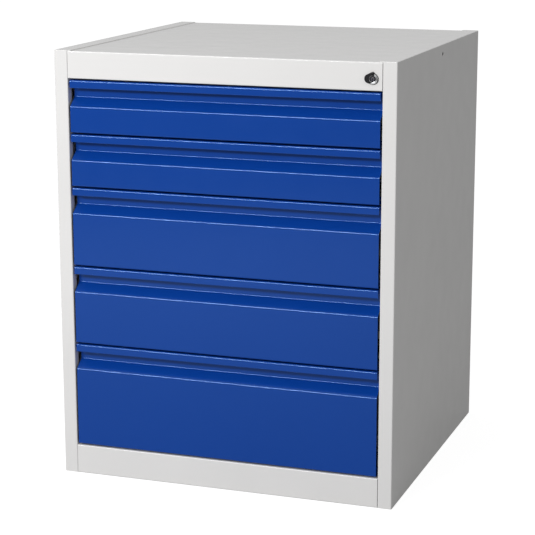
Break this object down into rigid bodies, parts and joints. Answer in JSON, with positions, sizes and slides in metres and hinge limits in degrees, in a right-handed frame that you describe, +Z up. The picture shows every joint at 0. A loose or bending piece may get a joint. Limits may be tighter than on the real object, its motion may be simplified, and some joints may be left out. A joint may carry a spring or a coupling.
{
  "type": "drawer cabinet",
  "caption": "Lockable under-bench steel drawer cabinet: folded case, drawers with full-width folded grips, roller runners and a cylinder lock that lifts a central lock bar.",
  "frame": {"origin": "on the floor, under the middle of the cabinet's bounding box (lock included)", "axes": "+Z up, drawers open along -Y, +X to the right of a person facing the drawers"},
  "size_m": [0.65, 0.625, 0.81],
  "materials": {
    "case_paint": "light grey powder coat, fine orange peel, semi-gloss",
    "drawer_paint": "gentian blue powder coat, semi-gloss",
    "tray_paint": "light grey powder coat, satin",
    "zinc_steel": "bright zinc plated sheet",
    "roller_nylon": "natural moulded nylon",
    "bezel_chrome": "bright chrome plate on zinc die casting",
    "plug_black": "black oxide, satin",
    "cover_black": "black lacquer, satin"
  },
  "bodies": {
    "case": {"side_panel_left": "case_paint", "side_panel_right": "case_paint", "top_panel": "case_paint", "bottom_front_rail": "case_paint", "floor_panel": "case_paint", "back_panel": "case_paint", "post_front_left": "case_paint", "post_front_right": "case_paint", "post_rear_left": "case_paint", "post_rear_right": "case_paint", "cabinet_runners_1": "zinc_steel", "cabinet_runners_2": "zinc_steel", "cabinet_runners_3": "zinc_steel", "cabinet_runners_4": "zinc_steel", "cabinet_runners_5": "zinc_steel", "runner_screws": "zinc_steel", "lock_housing": "bezel_chrome", "lock_nut": "zinc_steel", "lock_bar_guides": "zinc_steel"},
    "drawer_1": {"drawer_front_1": "drawer_paint", "drawer_tray_1": "tray_paint", "drawer_runners_1": "zinc_steel", "catch_lug_1": "tray_paint"},
    "rear_rollers_1": {"rear_rollers_1": "roller_nylon"},
    "front_rollers_1": {"front_rollers_1": "roller_nylon"},
    "drawer_2": {"drawer_front_2": "drawer_paint", "drawer_tray_2": "tray_paint", "drawer_runners_2": "zinc_steel", "catch_lug_2": "tray_paint"},
    "rear_rollers_2": {"rear_rollers_2": "roller_nylon"},
    "front_rollers_2": {"front_rollers_2": "roller_nylon"},
    "drawer_3": {"drawer_front_3": "drawer_paint", "drawer_tray_3": "tray_paint", "drawer_runners_3": "zinc_steel", "catch_lug_3": "tray_paint"},
    "rear_rollers_3": {"rear_rollers_3": "roller_nylon"},
    "front_rollers_3": {"front_rollers_3": "roller_nylon"},
    "drawer_4": {"drawer_front_4": "drawer_paint", "drawer_tray_4": "tray_paint", "drawer_runners_4": "zinc_steel", "catch_lug_4": "tray_paint"},
    "rear_rollers_4": {"rear_rollers_4": "roller_nylon"},
    "front_rollers_4": {"front_rollers_4": "roller_nylon"},
    "drawer_5": {"drawer_front_5": "drawer_paint", "drawer_tray_5": "tray_paint", "drawer_runners_5": "zinc_steel", "catch_lug_5": "tray_paint"},
    "rear_rollers_5": {"rear_rollers_5": "roller_nylon"},
    "front_rollers_5": {"front_rollers_5": "roller_nylon"},
    "lock_plug": {"lock_plug": "plug_black", "lock_cam": "zinc_steel", "cam_screw": "zinc_steel"},
    "lock_bar": {"lock_bar": "zinc_steel", "lock_bar_pins": "zinc_steel"},
    "lock_cover": {"lock_cover": "cover_black"}
  },
  "joints": [
    {"name": "drawer_1_slide", "type": "slide", "parent": "case", "child": "drawer_1", "axis": [0, -1, 0], "range_m": [0, 0.42]},
    {"name": "rear_rollers_1_spin", "type": "hinge", "parent": "drawer_1", "child": "rear_rollers_1", "pos_m": [0, 0.2741, 0.6743], "axis": [1, 0, 0], "range_deg": [-5, 2539]},
    {"name": "front_rollers_1_spin", "type": "hinge", "parent": "case", "child": "front_rollers_1", "pos_m": [0, -0.2715, 0.6765], "axis": [-1, 0, 0], "range_deg": [-5, 2539]},
    {"name": "drawer_2_slide", "type": "slide", "parent": "case", "child": "drawer_2", "axis": [0, -1, 0], "range_m": [0, 0.42]},
    {"name": "rear_rollers_2_spin", "type": "hinge", "parent": "drawer_2", "child": "rear_rollers_2", "pos_m": [0, 0.2741, 0.5743], "axis": [1, 0, 0], "range_deg": [-5, 2539]},
    {"name": "front_rollers_2_spin", "type": "hinge", "parent": "case", "child": "front_rollers_2", "pos_m": [0, -0.2715, 0.5765], "axis": [-1, 0, 0], "range_deg": [-5, 2539]},
    {"name": "drawer_3_slide", "type": "slide", "parent": "case", "child": "drawer_3", "axis": [0, -1, 0], "range_m": [0, 0.42]},
    {"name": "rear_rollers_3_spin", "type": "hinge", "parent": "drawer_3", "child": "rear_rollers_3", "pos_m": [0, 0.2741, 0.4243], "axis": [1, 0, 0], "range_deg": [-5, 2539]},
    {"name": "front_rollers_3_spin", "type": "hinge", "parent": "case", "child": "front_rollers_3", "pos_m": [0, -0.2715, 0.4265], "axis": [-1, 0, 0], "range_deg": [-5, 2539]},
    {"name": "drawer_4_slide", "type": "slide", "parent": "case", "child": "drawer_4", "axis": [0, -1, 0], "range_m": [0, 0.42]},
    {"name": "rear_rollers_4_spin", "type": "hinge", "parent": "drawer_4", "child": "rear_rollers_4", "pos_m": [0, 0.2741, 0.2743], "axis": [1, 0, 0], "range_deg": [-5, 2539]},
    {"name": "front_rollers_4_spin", "type": "hinge", "parent": "case", "child": "front_rollers_4", "pos_m": [0, -0.2715, 0.2765], "axis": [-1, 0, 0], "range_deg": [-5, 2539]},
    {"name": "drawer_5_slide", "type": "slide", "parent": "case", "child": "drawer_5", "axis": [0, -1, 0], "range_m": [0, 0.42]},
    {"name": "rear_rollers_5_spin", "type": "hinge", "parent": "drawer_5", "child": "rear_rollers_5", "pos_m": [0, 0.2741, 0.0743], "axis": [1, 0, 0], "range_deg": [-5, 2539]},
    {"name": "front_rollers_5_spin", "type": "hinge", "parent": "case", "child": "front_rollers_5", "pos_m": [0, -0.2715, 0.0765], "axis": [-1, 0, 0], "range_deg": [-5, 2539]},
    {"name": "lock_turn", "type": "hinge", "parent": "case", "child": "lock_plug", "pos_m": [0.2813, -0.3075, 0.7795], "axis": [0, -1, 0], "range_deg": [0, 90]},
    {"name": "lock_bar_lift", "type": "slide", "parent": "case", "child": "lock_bar", "axis": [0, 0, 1], "range_m": [0, 0.01838]},
    {"name": "lock_cover_swing", "type": "hinge", "parent": "case", "child": "lock_cover", "pos_m": [0.2813, -0.3105, 0.789], "axis": [0, -1, 0], "range_deg": [-70, 42]}
  ],
  "couplings": [
    {"joint": "rear_rollers_1_spin", "follows": "drawer_1_slide", "rad_per_m": 105.26},
    {"joint": "front_rollers_1_spin", "follows": "drawer_1_slide", "rad_per_m": 105.26},
    {"joint": "rear_rollers_2_spin", "follows": "drawer_2_slide", "rad_per_m": 105.26},
    {"joint": "front_rollers_2_spin", "follows": "drawer_2_slide", "rad_per_m": 105.26},
    {"joint": "rear_rollers_3_spin", "follows": "drawer_3_slide", "rad_per_m": 105.26},
    {"joint": "front_rollers_3_spin", "follows": "drawer_3_slide", "rad_per_m": 105.26},
    {"joint": "rear_rollers_4_spin", "follows": "drawer_4_slide", "rad_per_m": 105.26},
    {"joint": "front_rollers_4_spin", "follows": "drawer_4_slide", "rad_per_m": 105.26},
    {"joint": "rear_rollers_5_spin", "follows": "drawer_5_slide", "rad_per_m": 105.26},
    {"joint": "front_rollers_5_spin", "follows": "drawer_5_slide", "rad_per_m": 105.26},
    {"joint": "lock_turn", "follows": "lock_bar_lift", "rad_per_m": 85.44}
  ]
}
